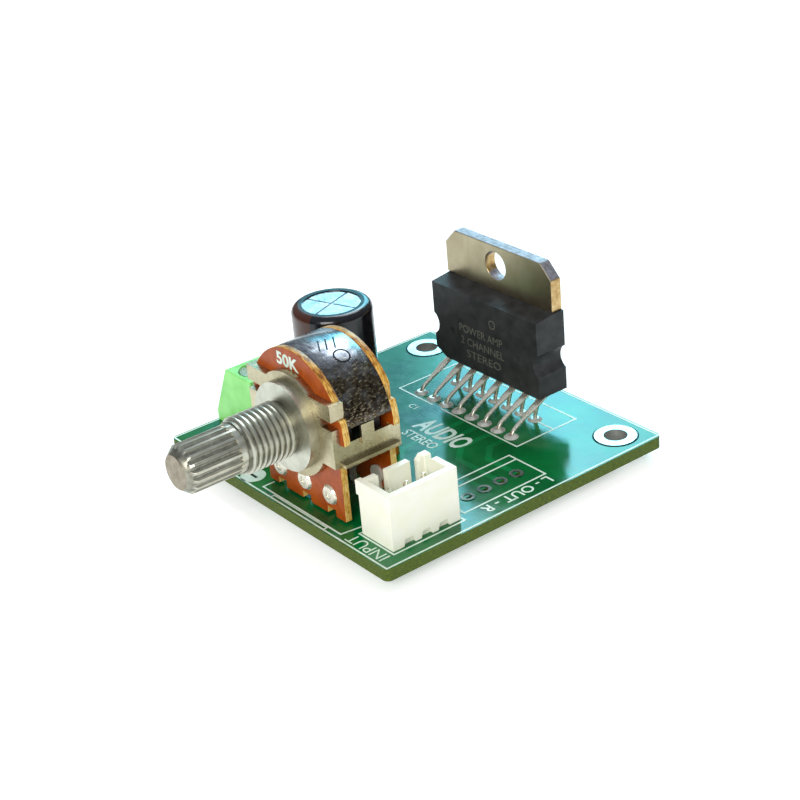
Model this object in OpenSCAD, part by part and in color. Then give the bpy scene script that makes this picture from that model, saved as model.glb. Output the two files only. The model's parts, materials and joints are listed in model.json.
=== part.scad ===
/* [Board] */
// Width of the board, left to right
board_w = 45; // [44:0.5:60]
// Depth of the board, front to back
board_d = 43; // [42:0.5:60]
// Thickness of the board
board_t = 1.6; // [0.8:0.1:2.4]
// Radius of the board's corners
corner_r = 0.8; // [0.2:0.1:1.5]
// Diameter of the two mounting holes
hole_d = 3; // [2:0.1:3.6]
// Distance of the mounting holes from the back and side edges
hole_inset = 4; // [3.4:0.1:4.5]
// Diameter of the bare metal ring round a mounting hole
ring_d = 5.3; // [4.6:0.1:6]
// Thickness of the bare metal rings
ring_t = 0.1; // [0.05:0.05:0.2]

/* [Soldering] */
// How far the leads stand below the board
lead_below = 1.5; // [1.2:0.1:2.5]
// Height of a solder cone under the board
solder_h = 0.9; // [0.5:0.1:1.1]
// Radius of a solder cone at the board
solder_r = 0.95; // [0.85:0.05:1.05]
// Radius of a solder cone round a thin wire
wire_solder_r = 0.8; // [0.6:0.05:0.9]
// Radius of a solder cone at its tip
solder_tip_r = 0.55; // [0.5:0.05:0.7]
// Height of a solder collar on the top of the board
collar_h = 0.3; // [0.2:0.05:0.5]

/* [Volume control] */
// Distance of the shaft's axis to the right of the board's centre
pot_x = 3.7; // [2:0.1:5]
// Height of the shaft's axis above the board
axis_h = 10.9; // [10.5:0.1:12.5]
// Distance of the front wafer from the board's front edge
pot_inset = 2.8; // [2:0.1:3.5]
// Half the width of a wafer's leg
leg_half_w = 7.7; // [7.5:0.1:8]
// How far the round top of a wafer stands out beside its leg
wafer_shoulder = 1.3; // [1.2:0.1:1.6]
// Thickness of a wafer
wafer_t = 0.9; // [0.8:0.1:1.6]
// Gap between a wafer's foot and the board
leg_gap = 0.3; // [0.2:0.1:0.6]
// Clear distance between the two wafers
gang_gap = 6.2; // [5.4:0.1:7]
// Pitch of the three terminals of a wafer
terminal_pitch = 5; // [4.5:0.1:5]
// Height of the rivets above the board
rivet_h = 3; // [2.6:0.1:3.2]
// Diameter of a rivet's head
rivet_d = 2.6; // [2.2:0.1:2.8]
// Thickness of the front plate
plate_t = 1; // [0.8:0.1:1.2]
// Radius of the front plate
plate_r = 6.5; // [6.3:0.1:6.6]
// Diameter of the boss behind the thread
boss_d = 11; // [9:0.1:12]
// Thickness of the boss behind the thread
boss_t = 1.2; // [0.8:0.1:2]
// Thickness of the threaded bush's wall round the shaft
bush_wall = 0.5; // [0.45:0.05:1]
// Length of the threaded bush in front of the plate
bush_l = 7.9; // [6:0.1:9]
// Diameter of the shaft
shaft_d = 6; // [5:0.1:6]
// Length of the shaft in front of the bush
shaft_out = 7.9; // [6:0.1:12]
// Length of the toothed end of the shaft
knurl_l = 7.1; // [4:0.1:7.5]
// Number of teeth round the shaft
knurl_count = 18; // [12:1:24]
// Depth of the teeth
knurl_depth = 0.4; // [0.2:0.05:0.45]
// Running clearance round the shaft
shaft_clear = 0.05; // [0.03:0.01:0.08]

/* [Amplifier] */
// Distance of the package's centre from the board's centre
amp_x = 0.4; // [-1:0.1:1.5]
// Distance of the package's back from the board's back edge
amp_inset = 4.4; // [4:0.1:6]
// Width of the package
amp_w = 20; // [19.5:0.1:21]
// Height of the moulded body
amp_h = 10.7; // [10:0.1:12]
// Thickness of the moulded body
amp_t = 4.6; // [4.4:0.1:5.4]
// Height of the moulded body above the board
amp_stand = 4; // [3.5:0.1:5]
// Height of the metal tab above the body
tab_h = 6.1; // [5.8:0.1:8]
// Thickness of the metal tab
tab_t = 1.6; // [1.4:0.1:2]
// Diameter of the hole in the tab
tab_hole_d = 3.75; // [3.2:0.05:3.8]
// Distance of the tab's hole from its top edge
tab_hole_drop = 2.75; // [2.7:0.05:3.4]
// Pitch of the leads along one row
lead_pitch = 2.54; // [2.4:0.02:2.6]
// Number of leads in the front row
lead_count = 8; // [5:1:8]
// Distance of the rear row of leads from the package's back
rear_row = 3.5; // [3.2:0.1:3.8]
// Distance between the two rows of leads
row_gap = 5.08; // [4.5:0.02:5.6]

/* [Power terminal] */
// Pitch of the two wire places
pole_pitch = 5.08; // [5:0.02:6]
// Distance of the terminal's front end from the board's front edge
block_front = 7.1; // [7:0.1:8]
// Distance of the terminal from the board's left edge
block_inset = 0.3; // [0:0.1:0.4]
// Depth of the terminal's base
block_d = 8.9; // [8.7:0.1:9]
// Height of the terminal
block_h = 8.3; // [8.2:0.1:9]
// How far the sloping front leans back
block_slope = 3.3; // [3:0.1:3.4]
// Diameter of a clamp screw's head
screw_d = 3.6; // [3.2:0.1:3.8]
// Diameter of a clamp screw's shank
shank_d = 2.4; // [2:0.1:2.5]
// How far a clamp rises when its screw is tightened
clamp_travel = 1.4; // [1:0.1:1.4]

/* [Input header] */
// Distance of the header from the board's right edge
header_inset = 2.5; // [2:0.1:3]
// Distance of the header from the board's front edge
header_front = 2.95; // [2.5:0.05:3.5]
// Length of the header
header_l = 9.9; // [9.6:0.1:11]
// Width of the header
header_w = 5.75; // [5.6:0.05:6.2]
// Height of the header
header_h = 7; // [6.6:0.1:8]
// Thickness of the header's walls
header_wall = 0.85; // [0.7:0.05:0.9]
// Pitch of the header's pins
header_pitch = 2.5; // [2.4:0.05:2.6]
// Pitch of the four open output holes
output_pitch = 2.54; // [2.4:0.02:2.6]

/* [Capacitors] */
// Diameter of the large capacitor with its sleeve
can_d = 10.1; // [9.5:0.1:10.2]
// Height of the large capacitor above the board
can_top = 17.5; // [14:0.1:22]
// Thickness of the capacitor's sleeve
sleeve_t = 0.15; // [0.1:0.05:0.3]
// Distance of the large capacitor from the board's left edge
can_left = 14.7; // [14.6:0.05:15]
// Distance of the large capacitor from the board's front edge
can_front = 16.9; // [16.8:0.1:17.5]
// Pitch of the large capacitor's leads
can_pitch = 5; // [4:0.1:5]
// Diameter of the two small electrolytic capacitors
small_d = 5; // [4.6:0.1:5]
// Height of the two small electrolytic capacitors
small_h = 7; // [5:0.1:7.5]
// Distance of the first small capacitor from the left edge
small_left = 7.5; // [7.4:0.1:7.8]
// Distance of the first small capacitor from the front edge
small_front = 25; // [24.8:0.1:25.6]
// Step from the first small capacitor to the second, to the left
small_step = 4.5; // [4.3:0.1:4.6]

/* [Other small parts] */
// Width of a film capacitor
film_w = 4.6; // [4:0.1:4.8]
// Thickness of a film capacitor
film_t = 2.2; // [1.8:0.1:2.4]
// Height of a film capacitor
film_h = 5; // [4:0.1:6]
// Gap between the large capacitor and the two film capacitors beside it
film_gap = 0.65; // [0.5:0.05:0.9]
// Length of the resistor's body
resistor_l = 4.4; // [3.8:0.1:5]
// Diameter of the resistor's body
resistor_d = 1.9; // [1.6:0.1:2]

/* [Hidden] */
$fn = 64;
e = 0.01;

// The frame: origin midway between the mounting holes, on the board's underside
left_x = -board_w / 2;
right_x = board_w / 2;
back_y = hole_inset;
front_y = hole_inset - board_d;
hole_x = board_w / 2 - hole_inset;

// Round wire and square pin sizes shared by the parts
wire_d = 0.6;
pin_w = 0.64;
hole_clear = 0.15;
lead_w = 0.5;
lead_t = 0.4;
strip_t = 0.4;
strip_w = 1;
seat_gap = 0.3;

// The volume control's own places
pot_y = front_y + pot_inset;
axis_z = board_t + axis_h;
rear_y = pot_y + wafer_t + gang_gap;
bush_d = shaft_d + 2 * bush_wall;
wafer_r = leg_half_w + wafer_shoulder;
strap_t = 0.5;
inner_d = 4;
track_t = 0.1;
brush_gap = 0.15;
brush_t = 0.25;
rotor_front = pot_y + wafer_t + track_t + brush_gap + brush_t;
rotor_back = rear_y - track_t - brush_gap - brush_t;
front_strip_y = pot_y + wafer_t;
rear_strip_y = rear_y - strip_t;

// The amplifier package's own places
amp_back = back_y - amp_inset;
amp_z = board_t + amp_stand;
rear_row_y = amp_back - rear_row;
front_row_y = rear_row_y - row_gap;
lead_lean = 1.4;
exit_y = rear_row_y + lead_lean;

// The power terminal's own places
block_x = left_x + block_inset;
block_y = front_y + block_front;
block_l = 2 * pole_pitch;
pole_y = [for (i = [0, 1]) block_y + pole_pitch * (i + 0.5)];
block_top_d = block_d - block_slope;
screw_x = block_x + block_slope + block_top_d / 2;
floor_t = 0.6;
head_h = 1.2;
roof_t = 0.4;
head_z = board_t + block_h - head_h - 0.1;
roof_z = head_z - roof_t;
chamber_w = 3.6;
slide_gap = 0.1;
cage_l = 3;
cage_w = chamber_w - 2 * slide_gap;
cage_z = board_t + floor_t + slide_gap;
cage_h = roof_z - cage_z - clamp_travel - slide_gap;
cage_floor = 0.6;
cage_roof = 1.1;
contact_t = 0.7;
contact_z = cage_z + cage_h - cage_roof - slide_gap - contact_t;
contact_back = screw_x + cage_l / 2 + 2 * slide_gap + strip_t;

// The input header's and the output holes' own places
header_x = right_x - header_inset - header_w;
header_y = front_y + header_front;
header_pin_x = header_x + header_w * 0.46;
output_inset = 5.8;
output_front = 20.5;
output_x = right_x - output_inset;
output_y = front_y + output_front;

// The capacitors' and the resistor's own places
can_x = left_x + can_left;
can_y = front_y + can_front;
small_x = left_x + small_left;
small_y = front_y + small_front;
small_lean = 0.7;
small_places = [for (i = [0, 1]) [small_x - i * small_step, small_y + i * small_step * small_lean]];
film_x = can_x + can_d / 2 + film_gap + film_w / 2;
film_space = 0.9;
block_gap = 2.2;
block_side = 1.5;
film_places = [[film_x, can_y - film_t - film_space], [film_x, can_y],
    [block_x + block_d - film_w / 2 - block_side, block_y + block_l + block_gap + film_t / 2]];
film_pitch = 2.5;
resistor_inset = 1.6;
resistor_x = left_x + resistor_inset;
resistor_wire = 1.6;
resistor_pitch = resistor_l + 2 * resistor_wire;
resistor_y = block_y + block_l + block_gap / 4 + resistor_pitch / 2;
small_pitch = 2;

// Where the leads go through the board
amp_front_places = [for (i = [0 : lead_count - 1])
    [amp_x + lead_pitch * (i - (lead_count - 1) / 2), front_row_y]];
amp_rear_places = [for (i = [0 : lead_count - 2])
    [amp_x + lead_pitch * (i - (lead_count - 2) / 2), rear_row_y]];
pot_front_places = [for (i = [-1 : 1]) [pot_x + i * terminal_pitch, front_strip_y + strip_t / 2]];
pot_rear_places = [for (i = [-1 : 1]) [pot_x + i * terminal_pitch, rear_strip_y + strip_t / 2]];
header_places = [for (i = [-1 : 1]) [header_pin_x, header_y + header_l / 2 + i * header_pitch]];
contact_places = [for (y = pole_y) [contact_back - strip_t / 2, y]];
output_places = [for (i = [-1.5 : 1.5]) [output_x, output_y + i * output_pitch]];
can_places = [for (s = [-1, 1]) [can_x, can_y + s * can_pitch / 2]];
small_lead_places = [for (p = small_places, s = [-1, 1]) [p[0] + s * small_pitch / 2, p[1]]];
film_lead_places = [for (p = film_places, s = [-1, 1]) [p[0] + s * film_pitch / 2, p[1]]];
resistor_places = [for (s = [-1, 1]) [resistor_x, resistor_y + s * resistor_pitch / 2]];
wire_places = concat(can_places, small_lead_places, film_lead_places, resistor_places);

// Drills whose diameter clears a round or a rectangular lead
function drill(w, t) = norm([w, t]) + hole_clear;
output_drill = 1;
output_pad_d = 1.8;

module rounded_plate(w, d, h, r) {
    linear_extrude(h) {
        square([w - 2 * r, d], center = true);
        square([w, d - 2 * r], center = true);
        for (sx = [-1, 1], sy = [-1, 1])
            translate([sx * (w / 2 - r), sy * (d / 2 - r)]) circle(r);
    }
}

module drill_all(places, d) {
    for (p = places)
        translate([p[0], p[1], -1]) cylinder(d = d, h = board_t + 2);
}

// A flat shape drawn in X and Z, seen from the front, and given a depth along Y
module upright(y, depth) {
    translate([0, y + depth, 0]) rotate([90, 0, 0]) linear_extrude(depth) children();
}

// A cylinder along the shaft's axis, from y for a length
module along_axis(y, l, d1, d2 = 0) {
    translate([pot_x, y, axis_z]) rotate([-90, 0, 0])
        cylinder(d1 = d1, d2 = d2 > 0 ? d2 : d1, h = l);
}

module circuit_board() {
    color("#0b5a41") difference() {
        translate([0, (front_y + back_y) / 2, 0]) rounded_plate(board_w, board_d, board_t, corner_r);
        for (s = [-1, 1])
            translate([s * hole_x, 0, -1]) cylinder(d = hole_d, h = board_t + 2);
        drill_all(concat(amp_front_places, amp_rear_places), drill(lead_w, lead_t));
        drill_all(concat(pot_front_places, pot_rear_places), drill(strip_w, strip_t));
        drill_all(contact_places, drill(strip_w, strip_t));
        drill_all(header_places, drill(pin_w, pin_w));
        drill_all(output_places, output_drill);
        drill_all(wire_places, wire_d + hole_clear);
    }
}

// Bare metal rings round the mounting holes, on both faces
module mounting_rings() {
    color("#d9dcdc") for (s = [-1, 1], z = [-ring_t, board_t])
        translate([s * hole_x, 0, z]) difference() {
            cylinder(d = ring_d, h = ring_t);
            translate([0, 0, -1]) cylinder(d = hole_d, h = ring_t + 2);
        }
}

// Rings round the four open output holes, on both faces
module output_pads() {
    color("#8f9794") for (p = output_places, z = [-ring_t, board_t])
        translate([p[0], p[1], z]) difference() {
            cylinder(d = output_pad_d, h = ring_t);
            translate([0, 0, -1]) cylinder(d = output_drill, h = ring_t + 2);
        }
}

notch_r = 1.7;
notch_depth = 0.9;
notch_h = 4.45;
first_corner_w = 2;
first_corner_h = 1;
first_corner_depth = 1.8;
pocket_low = 1;
tab_wrap = 1.2;
tab_shift = -0.3;
tab_hole_shift = -0.6;
tab_corner = 1.9;
pin_mark_r = 0.45;
pin_mark_depth = 0.15;

// Front outline of the moulded body, with its side notches
module amp_outline() {
    half = amp_w / 2;
    difference() {
        translate([-half, 0]) square([amp_w, amp_h]);
        for (s = [-1, 1])
            translate([s * (half + notch_r - notch_depth), notch_h]) circle(notch_r);
    }
}

// Corner cut away at the front of the body, beside the first lead
module first_corner() {
    left = -amp_w / 2;
    upright(amp_back - amp_t - 1, 1 + first_corner_depth)
        polygon([[left - 1, -1], [left + first_corner_w, -1], [left + first_corner_w, 0],
            [left, first_corner_h], [left - 1, first_corner_h]]);
}

// Moulded body, sloping from the tab's face down to the front, with a pocket for the tab
module amplifier_body() {
    top_slope = 0.4;
    neck = amp_w / 2 - tab_wrap;
    color("#26282a") translate([amp_x, 0, amp_z]) difference() {
        upright(amp_back - amp_t, amp_t) amp_outline();
        first_corner();
        upright(amp_back - tab_t, tab_t + 1) translate([-neck, pocket_low]) square([2 * neck, amp_h]);
        translate([-amp_w, amp_back - amp_t, amp_h]) rotate([90, 0, 90])
            linear_extrude(2 * amp_w)
                polygon([[-1, -top_slope - top_slope / (amp_t - tab_t)], [amp_t - tab_t, 0],
                    [amp_t - tab_t, 1], [-1, 1]]);
        for (s = [-1, 1])
            translate([s * amp_w * 0.32, amp_back - amp_t - 1, notch_h]) rotate([-90, 0, 0])
                cylinder(r = pin_mark_r, h = 1 + pin_mark_depth);
    }
}

// Metal tab: a narrow stretch in the body's pocket and a wide one above the body
module amplifier_tab() {
    half = amp_w / 2;
    neck = half - tab_wrap;
    color("#8d7d66") translate([amp_x, 0, amp_z]) difference() {
        upright(amp_back - tab_t, tab_t) {
            translate([-neck, pocket_low]) square([2 * neck, amp_h - pocket_low + e]);
            translate([tab_shift, amp_h])
                polygon([[-half, 0], [half, 0], [half, tab_h - tab_corner], [half - tab_corner, tab_h],
                    [-half + tab_corner, tab_h], [-half, tab_h - tab_corner]]);
        }
        translate([tab_hole_shift, amp_back - tab_t - 1, amp_h + tab_h - tab_hole_drop])
            rotate([-90, 0, 0]) cylinder(d = tab_hole_d, h = tab_t + 2);
    }
}

foot_z = collar_h + 0.25;
shoulder_w = 0.95;
shoulder_z = foot_z + 1;

// A flat shape drawn in Y and Z at a lead's place, and given a width along X
module lead_strip(place, w) {
    translate([place[0] - w / 2, place[1], 0]) rotate([90, 0, 90]) linear_extrude(w) children();
}

// One lead: upright through the board, then sloping back to the row where all leads leave the
// body, with a wider shoulder below the body
module sloping_lead(place) {
    half_t = lead_t / 2;
    run = exit_y - place[1];
    rise = amp_stand - foot_z;
    slant = norm([run, rise]);
    foot = board_t + foot_z;
    bend = half_t * (slant - rise) / run;
    half_run = half_t * slant / rise;
    shoulder = board_t + shoulder_z;
    shoulder_run = (shoulder - foot) * run / rise;
    lead_strip(place, lead_w)
        polygon([[-half_t, -lead_below], [half_t, -lead_below], [half_t, foot - bend],
            [run + half_run, amp_z], [run - half_run, amp_z], [-half_t, foot + bend]]);
    lead_strip(place, shoulder_w)
        polygon([[shoulder_run + half_run, shoulder], [run + half_run, amp_z], [run - half_run, amp_z],
            [shoulder_run - half_run, shoulder]]);
}

module amplifier_front_leads() {
    color("#b9b5a8") for (p = amp_front_places)
        sloping_lead(p);
}

module amplifier_rear_leads() {
    color("#b9b5a8") for (p = amp_rear_places)
        sloping_lead(p);
}

// Solder collars on the top of the board round the amplifier's leads
module amplifier_collars() {
    color("#9ea19d") for (p = concat(amp_front_places, amp_rear_places))
        translate([p[0], p[1], board_t]) difference() {
            cylinder(r1 = solder_r, r2 = solder_tip_r, h = collar_h);
            translate([-lead_w / 2, -lead_t / 2, -1]) cube([lead_w, lead_t, collar_h + 2]);
        }
}

// Solder cones under the board, each with the section of its lead left free
module solder_cones(places, w, t) {
    color("#a9adab") for (p = places)
        translate([p[0], p[1], -solder_h]) difference() {
            cylinder(r1 = solder_tip_r, r2 = solder_r, h = solder_h);
            translate([-w / 2, -t / 2, -1]) cube([w, t, solder_h + 2]);
        }
}

module solder_rings(places) {
    color("#a9adab") for (p = places)
        translate([p[0], p[1], -solder_h]) difference() {
            cylinder(r1 = wire_solder_r / 2, r2 = wire_solder_r, h = solder_h);
            translate([0, 0, -1]) cylinder(d = wire_d, h = solder_h + 2);
        }
}

module amplifier_solder() {
    solder_cones(concat(amp_front_places, amp_rear_places), lead_w, lead_t);
}

module pot_solder() {
    solder_cones(concat(pot_front_places, pot_rear_places), strip_w, strip_t);
}

module connector_solder() {
    solder_cones(contact_places, strip_t, strip_w);
    solder_cones(header_places, pin_w, pin_w);
}

module passive_solder() {
    solder_rings(wire_places);
}

thread_pitch = 0.75;
thread_depth = 0.3;
crest_w = 0.2;
flank_w = 0.2;
bush_wall_clear = shaft_d + 2 * shaft_clear;

// Bush with its thread ridges and boss, turned as one piece
module pot_bush() {
    front = pot_y - plate_t - bush_l;
    root_d = bush_d - 2 * thread_depth;
    ridge_count = floor((bush_l - boss_t) / thread_pitch);
    color("#c3bfb2") difference() {
        union() {
            along_axis(front, bush_l, root_d);
            for (i = [0 : ridge_count - 1])
                translate([0, thread_pitch * (i + 0.5), 0]) {
                    along_axis(front, flank_w, root_d, bush_d);
                    along_axis(front + flank_w, crest_w, bush_d);
                    along_axis(front + flank_w + crest_w, flank_w, bush_d, root_d);
                }
            along_axis(pot_y - plate_t - boss_t, boss_t, boss_d);
        }
        along_axis(front - 1, bush_l + 2, bush_wall_clear);
    }
}

// Heights of the frame's straps, ears and flanks about the shaft's axis
strap_low = -3;
strap_high = -0.3;
flank_high = 1.9;
ear_low = 3;
ear_high = 5;
strap_x = leg_half_w + 0.05;
plate_low = rivet_h + rivet_d / 2 + hole_clear - axis_h;
ear_root = 3.2;
hook_l = 1.6;
hook_inset = 0.5;
lip_out = 0.7;
lip_t = 0.45;
lug_low = -1;
lug_high = 1.45;
lug_w = 1.8;
lug_t = 0.4;
lug_front = 2.8;

// One side of the frame: an ear over the front wafer, and a strap with a lip back to the rear wafer
module frame_side() {
    front = pot_y - plate_t;
    back = rear_y + wafer_t;
    outer = strap_x + strap_t;
    root = plate_r - ear_root;
    translate([root, front, ear_low]) cube([outer - root, plate_t, ear_high - ear_low]);
    translate([strap_x, front, ear_low]) cube([strap_t, plate_t + wafer_t, ear_high - ear_low]);
    translate([root, front, strap_low]) cube([outer - root, plate_t, flank_high - strap_low]);
    translate([strap_x, front, strap_low]) cube([strap_t, back - front + strap_t, strap_high - strap_low]);
    translate([strap_x, pot_y, strap_low]) cube([strap_t + lip_out, back - pot_y, lip_t]);
    translate([outer - e, pot_y + lug_front, lug_low]) cube([lug_t, lug_w, lug_high - lug_low]);
    translate([strap_x - hook_l, back, strap_low + hook_inset])
        cube([hook_l + strap_t, strap_t, strap_high - strap_low - 2 * hook_inset]);
}

// Stamped frame: the round front plate with ears and straps folded back along both sides
module pot_frame() {
    color("#bdb7a6") translate([pot_x, 0, axis_z]) difference() {
        union() {
            upright(pot_y - plate_t, plate_t) intersection() {
                circle(plate_r);
                translate([-plate_r, plate_low]) square(2 * plate_r);
            }
            frame_side();
            mirror([1, 0, 0]) frame_side();
        }
        translate([0, pot_y - plate_t - 1, 0]) rotate([-90, 0, 0])
            cylinder(d = bush_wall_clear, h = plate_t + 2);
    }
}

foot_notch_w = 1.6;
foot_notch_h = 0.9;
rivet_hole_d = 1.5;
shoulder_gap = 0.1;

// Flat outline of a wafer: a round top on a narrower leg, with notches for the ears and at the foot
module wafer_outline(centre_hole) {
    foot = board_t + leg_gap - axis_z;
    difference() {
        union() {
            intersection() {
                circle(wafer_r);
                translate([-wafer_r, strap_high + shoulder_gap]) square(2 * wafer_r);
            }
            translate([-leg_half_w, foot]) square([2 * leg_half_w, -foot]);
        }
        circle(d = centre_hole);
        for (s = [0, 1])
            mirror([s, 0]) translate([leg_half_w, ear_low - shoulder_gap])
                square([wafer_r, ear_high - ear_low + 2 * shoulder_gap]);
        for (i = [-1 : 1]) {
            translate([i * terminal_pitch, board_t + rivet_h - axis_z]) circle(d = rivet_hole_d);
            translate([i * terminal_pitch - foot_notch_w / 2, foot - 1])
                square([foot_notch_w, 1 + foot_notch_h]);
        }
    }
}

wafer_clear = 0.3;

module front_wafer() {
    color("#9a4a1d") translate([pot_x, 0, axis_z])
        upright(pot_y, wafer_t) wafer_outline(shaft_d + 2 * wafer_clear);
}

module rear_wafer() {
    color("#9a4a1d") translate([pot_x, 0, axis_z])
        upright(rear_y, wafer_t) wafer_outline(inner_d + 2 * wafer_clear);
}

cover_t = 0.5;
cover_low = 1.7;

// Steel cover: an arch between the wafers, level with their round tops
module pot_cover() {
    color("#3f4145") translate([pot_x, 0, axis_z])
        upright(pot_y + wafer_t, gang_gap) intersection() {
            difference() {
                circle(wafer_r);
                circle(wafer_r - cover_t);
            }
            translate([-wafer_r, cover_low]) square(2 * wafer_r);
        }
}

strip_head = 2.2;
head_t = 0.3;
dimple_d = 1.1;
dimple = 0.12;

// One riveted terminal: a flat strip into the board, a rivet through the wafer and its dimpled head
module terminal(x, strip_y, wafer_y, out) {
    rivet_z = board_t + rivet_h;
    rim_y = out > 0 ? wafer_y + wafer_t : wafer_y - head_t;
    rim_d = rivet_d - 0.5;
    color("#cfc9b6") difference() {
        union() {
            translate([x - strip_w / 2, strip_y, -lead_below])
                cube([strip_w, strip_t, lead_below + rivet_z]);
            translate([x, strip_y, rivet_z]) rotate([-90, 0, 0]) cylinder(d = strip_head, h = strip_t);
            translate([x, min(strip_y, rim_y), rivet_z]) rotate([-90, 0, 0])
                cylinder(d = rivet_hole_d, h = wafer_t + strip_t + head_t);
            translate([x, rim_y, rivet_z]) rotate([-90, 0, 0])
                cylinder(d1 = out > 0 ? rivet_d : rim_d, d2 = out > 0 ? rim_d : rivet_d, h = head_t);
        }
        translate([x, out > 0 ? rim_y + head_t - dimple : rim_y - 1, rivet_z]) rotate([-90, 0, 0])
            cylinder(d = dimple_d, h = 1 + dimple);
    }
}

module front_terminals() {
    for (p = pot_front_places)
        terminal(p[0], front_strip_y, pot_y, -1);
}

module rear_terminals() {
    for (p = pot_rear_places)
        terminal(p[0], rear_strip_y, rear_y, 1);
}

track_in = 4.6;
track_out = 6.2;
track_gap = 3;

// Open ring of resistive film on a wafer's inner face
module track_ring(y) {
    color("#1d1d1f") translate([pot_x, 0, axis_z]) upright(y, track_t) difference() {
        circle(track_out);
        circle(track_in);
        translate([-track_gap / 2, -track_out - 1]) square([track_gap, track_out]);
    }
}

module front_track() {
    track_ring(pot_y + wafer_t);
}

module rear_track() {
    track_ring(rear_y - track_t);
}

tip_chamfer = 0.9;
tip_l = 1.1;

// Tooth form of the shaft's end: a circle with equal round grooves
module knurl_outline() {
    groove_r = shaft_d * PI / knurl_count / 3;
    difference() {
        circle(d = shaft_d);
        for (i = [0 : knurl_count - 1])
            rotate(i * 360 / knurl_count)
                translate([shaft_d / 2 + groove_r - knurl_depth, 0]) circle(groove_r, $fn = 24);
    }
}

// Shaft: toothed end with a bevelled tip, plain stretch in the bush, thinner stretch inside
module volume_shaft() {
    front = pot_y - plate_t - bush_l - shaft_out;
    neck = front + knurl_l;
    inner_end = rear_y + wafer_t + seat_gap;
    color("#b8b5aa") {
        intersection() {
            translate([pot_x, front + knurl_l, axis_z]) rotate([90, 0, 0])
                linear_extrude(knurl_l) knurl_outline();
            union() {
                along_axis(front, tip_l, shaft_d - 2 * tip_chamfer, shaft_d);
                along_axis(front + tip_l, knurl_l, shaft_d);
            }
        }
        along_axis(neck, rotor_front - neck, shaft_d);
        along_axis(rotor_front, inner_end - rotor_front, inner_d);
    }
}

rotor_gap = 1.5;
rotor_r = wafer_r - cover_t - rotor_gap;
rotor_rim = 1.2;
hub_r = 3.8;

// Moulded rotor: two flanges on a hub, which carry the wipers
module volume_rotor() {
    color("#3b3a38") difference() {
        union() {
            along_axis(rotor_front, rotor_back - rotor_front, 2 * hub_r);
            along_axis(rotor_front, rotor_rim, 2 * rotor_r);
            along_axis(rotor_back - rotor_rim, rotor_rim, 2 * rotor_r);
        }
        along_axis(rotor_front - 1, rotor_back - rotor_front + 2, inner_d);
    }
}

brush_w = 0.6;
brush_angles = [84, 96];

// Sprung contact ring with two brushes that reach over the resistive film
module wiper(y) {
    color("#c9a24a") translate([pot_x, 0, axis_z]) upright(y, brush_t) difference() {
        union() {
            circle(hub_r + 0.6);
            for (a = brush_angles)
                rotate(a) translate([0, -brush_w / 2]) square([track_out - 0.1, brush_w]);
        }
        circle(d = shaft_d + 2 * wafer_clear);
    }
}

module front_wiper() {
    wiper(rotor_front - brush_t);
}

module rear_wiper() {
    wiper(rotor_back);
}

block_step = 1.5;
mouth_h = 3;
recess_clear = 0.15;

// Side view of the power terminal's housing: upright foot, sloping wire side and flat top
module block_outline() {
    polygon([[0, 0], [block_d, 0], [block_d, block_h], [block_slope, block_h], [0, block_step]]);
}

// Housing with a chamber, a wire mouth and a screw well for each wire place
module terminal_housing() {
    chamber_back = contact_back;
    chamber_front = screw_x - cage_l / 2 - slide_gap;
    color("#93dd7c") difference() {
        translate([block_x, block_y + block_l, board_t]) rotate([90, 0, 0])
            linear_extrude(block_l) block_outline();
        for (y = pole_y) {
            translate([chamber_front, y - chamber_w / 2, board_t + floor_t])
                cube([chamber_back - chamber_front, chamber_w, roof_z - board_t - floor_t]);
            translate([block_x - 1, y - chamber_w / 2, board_t + floor_t])
                cube([chamber_front - block_x + 1 + e, chamber_w, mouth_h]);
            translate([screw_x, y, roof_z - 1]) cylinder(d = shank_d + 2 * slide_gap, h = roof_t + 2);
            translate([screw_x, y, head_z])
                cylinder(d = screw_d + 2 * recess_clear, h = block_h);
            translate([contact_back - strip_t, y - strip_w / 2, board_t - 1])
                cube([strip_t, strip_w, floor_t + 2]);
        }
    }
}

// Contacts: a bar through each clamp and a flat leg down into the board
module terminal_contacts() {
    bar_front = screw_x - cage_l / 2;
    color("#c8cac8") for (y = pole_y) {
        translate([bar_front, y - strip_w, contact_z])
            cube([contact_back - bar_front, 2 * strip_w, contact_t]);
        translate([contact_back - strip_t, y - strip_w / 2, -lead_below])
            cube([strip_t, strip_w, contact_z + lead_below + e]);
    }
}

// Clamp cage: a square ring that the screw lifts against the contact bar
module clamp_cage(y) {
    side_t = 0.5;
    color("#d5d7d4") translate([screw_x, y, cage_z]) difference() {
        translate([-cage_l / 2, -cage_w / 2, 0]) cube([cage_l, cage_w, cage_h]);
        translate([-cage_l, side_t - cage_w / 2, cage_floor])
            cube([2 * cage_l, cage_w - 2 * side_t, cage_h - cage_floor - cage_roof]);
        translate([0, 0, cage_h - cage_roof - 1]) cylinder(d = shank_d + 2 * shaft_clear, h = cage_roof + 2);
    }
}

module front_clamp() {
    clamp_cage(pole_y[0]);
}

module rear_clamp() {
    clamp_cage(pole_y[1]);
}

screw_slot_w = 0.6;
screw_slot_h = 0.6;

// Clamp screw with a slotted head, which turns on the roof of its chamber
module clamp_screw(y) {
    shank_low = contact_z + contact_t + slide_gap;
    color("#c9cbc9") translate([screw_x, y, 0]) difference() {
        union() {
            translate([0, 0, head_z]) cylinder(d = screw_d, h = head_h);
            translate([0, 0, shank_low]) cylinder(d = shank_d, h = head_z - shank_low);
        }
        translate([-screw_d, -screw_slot_w / 2, head_z + head_h - screw_slot_h])
            cube([2 * screw_d, screw_slot_w, screw_slot_h + 1]);
    }
}

module front_screw() {
    clamp_screw(pole_y[0]);
}

module rear_screw() {
    clamp_screw(pole_y[1]);
}

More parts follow.
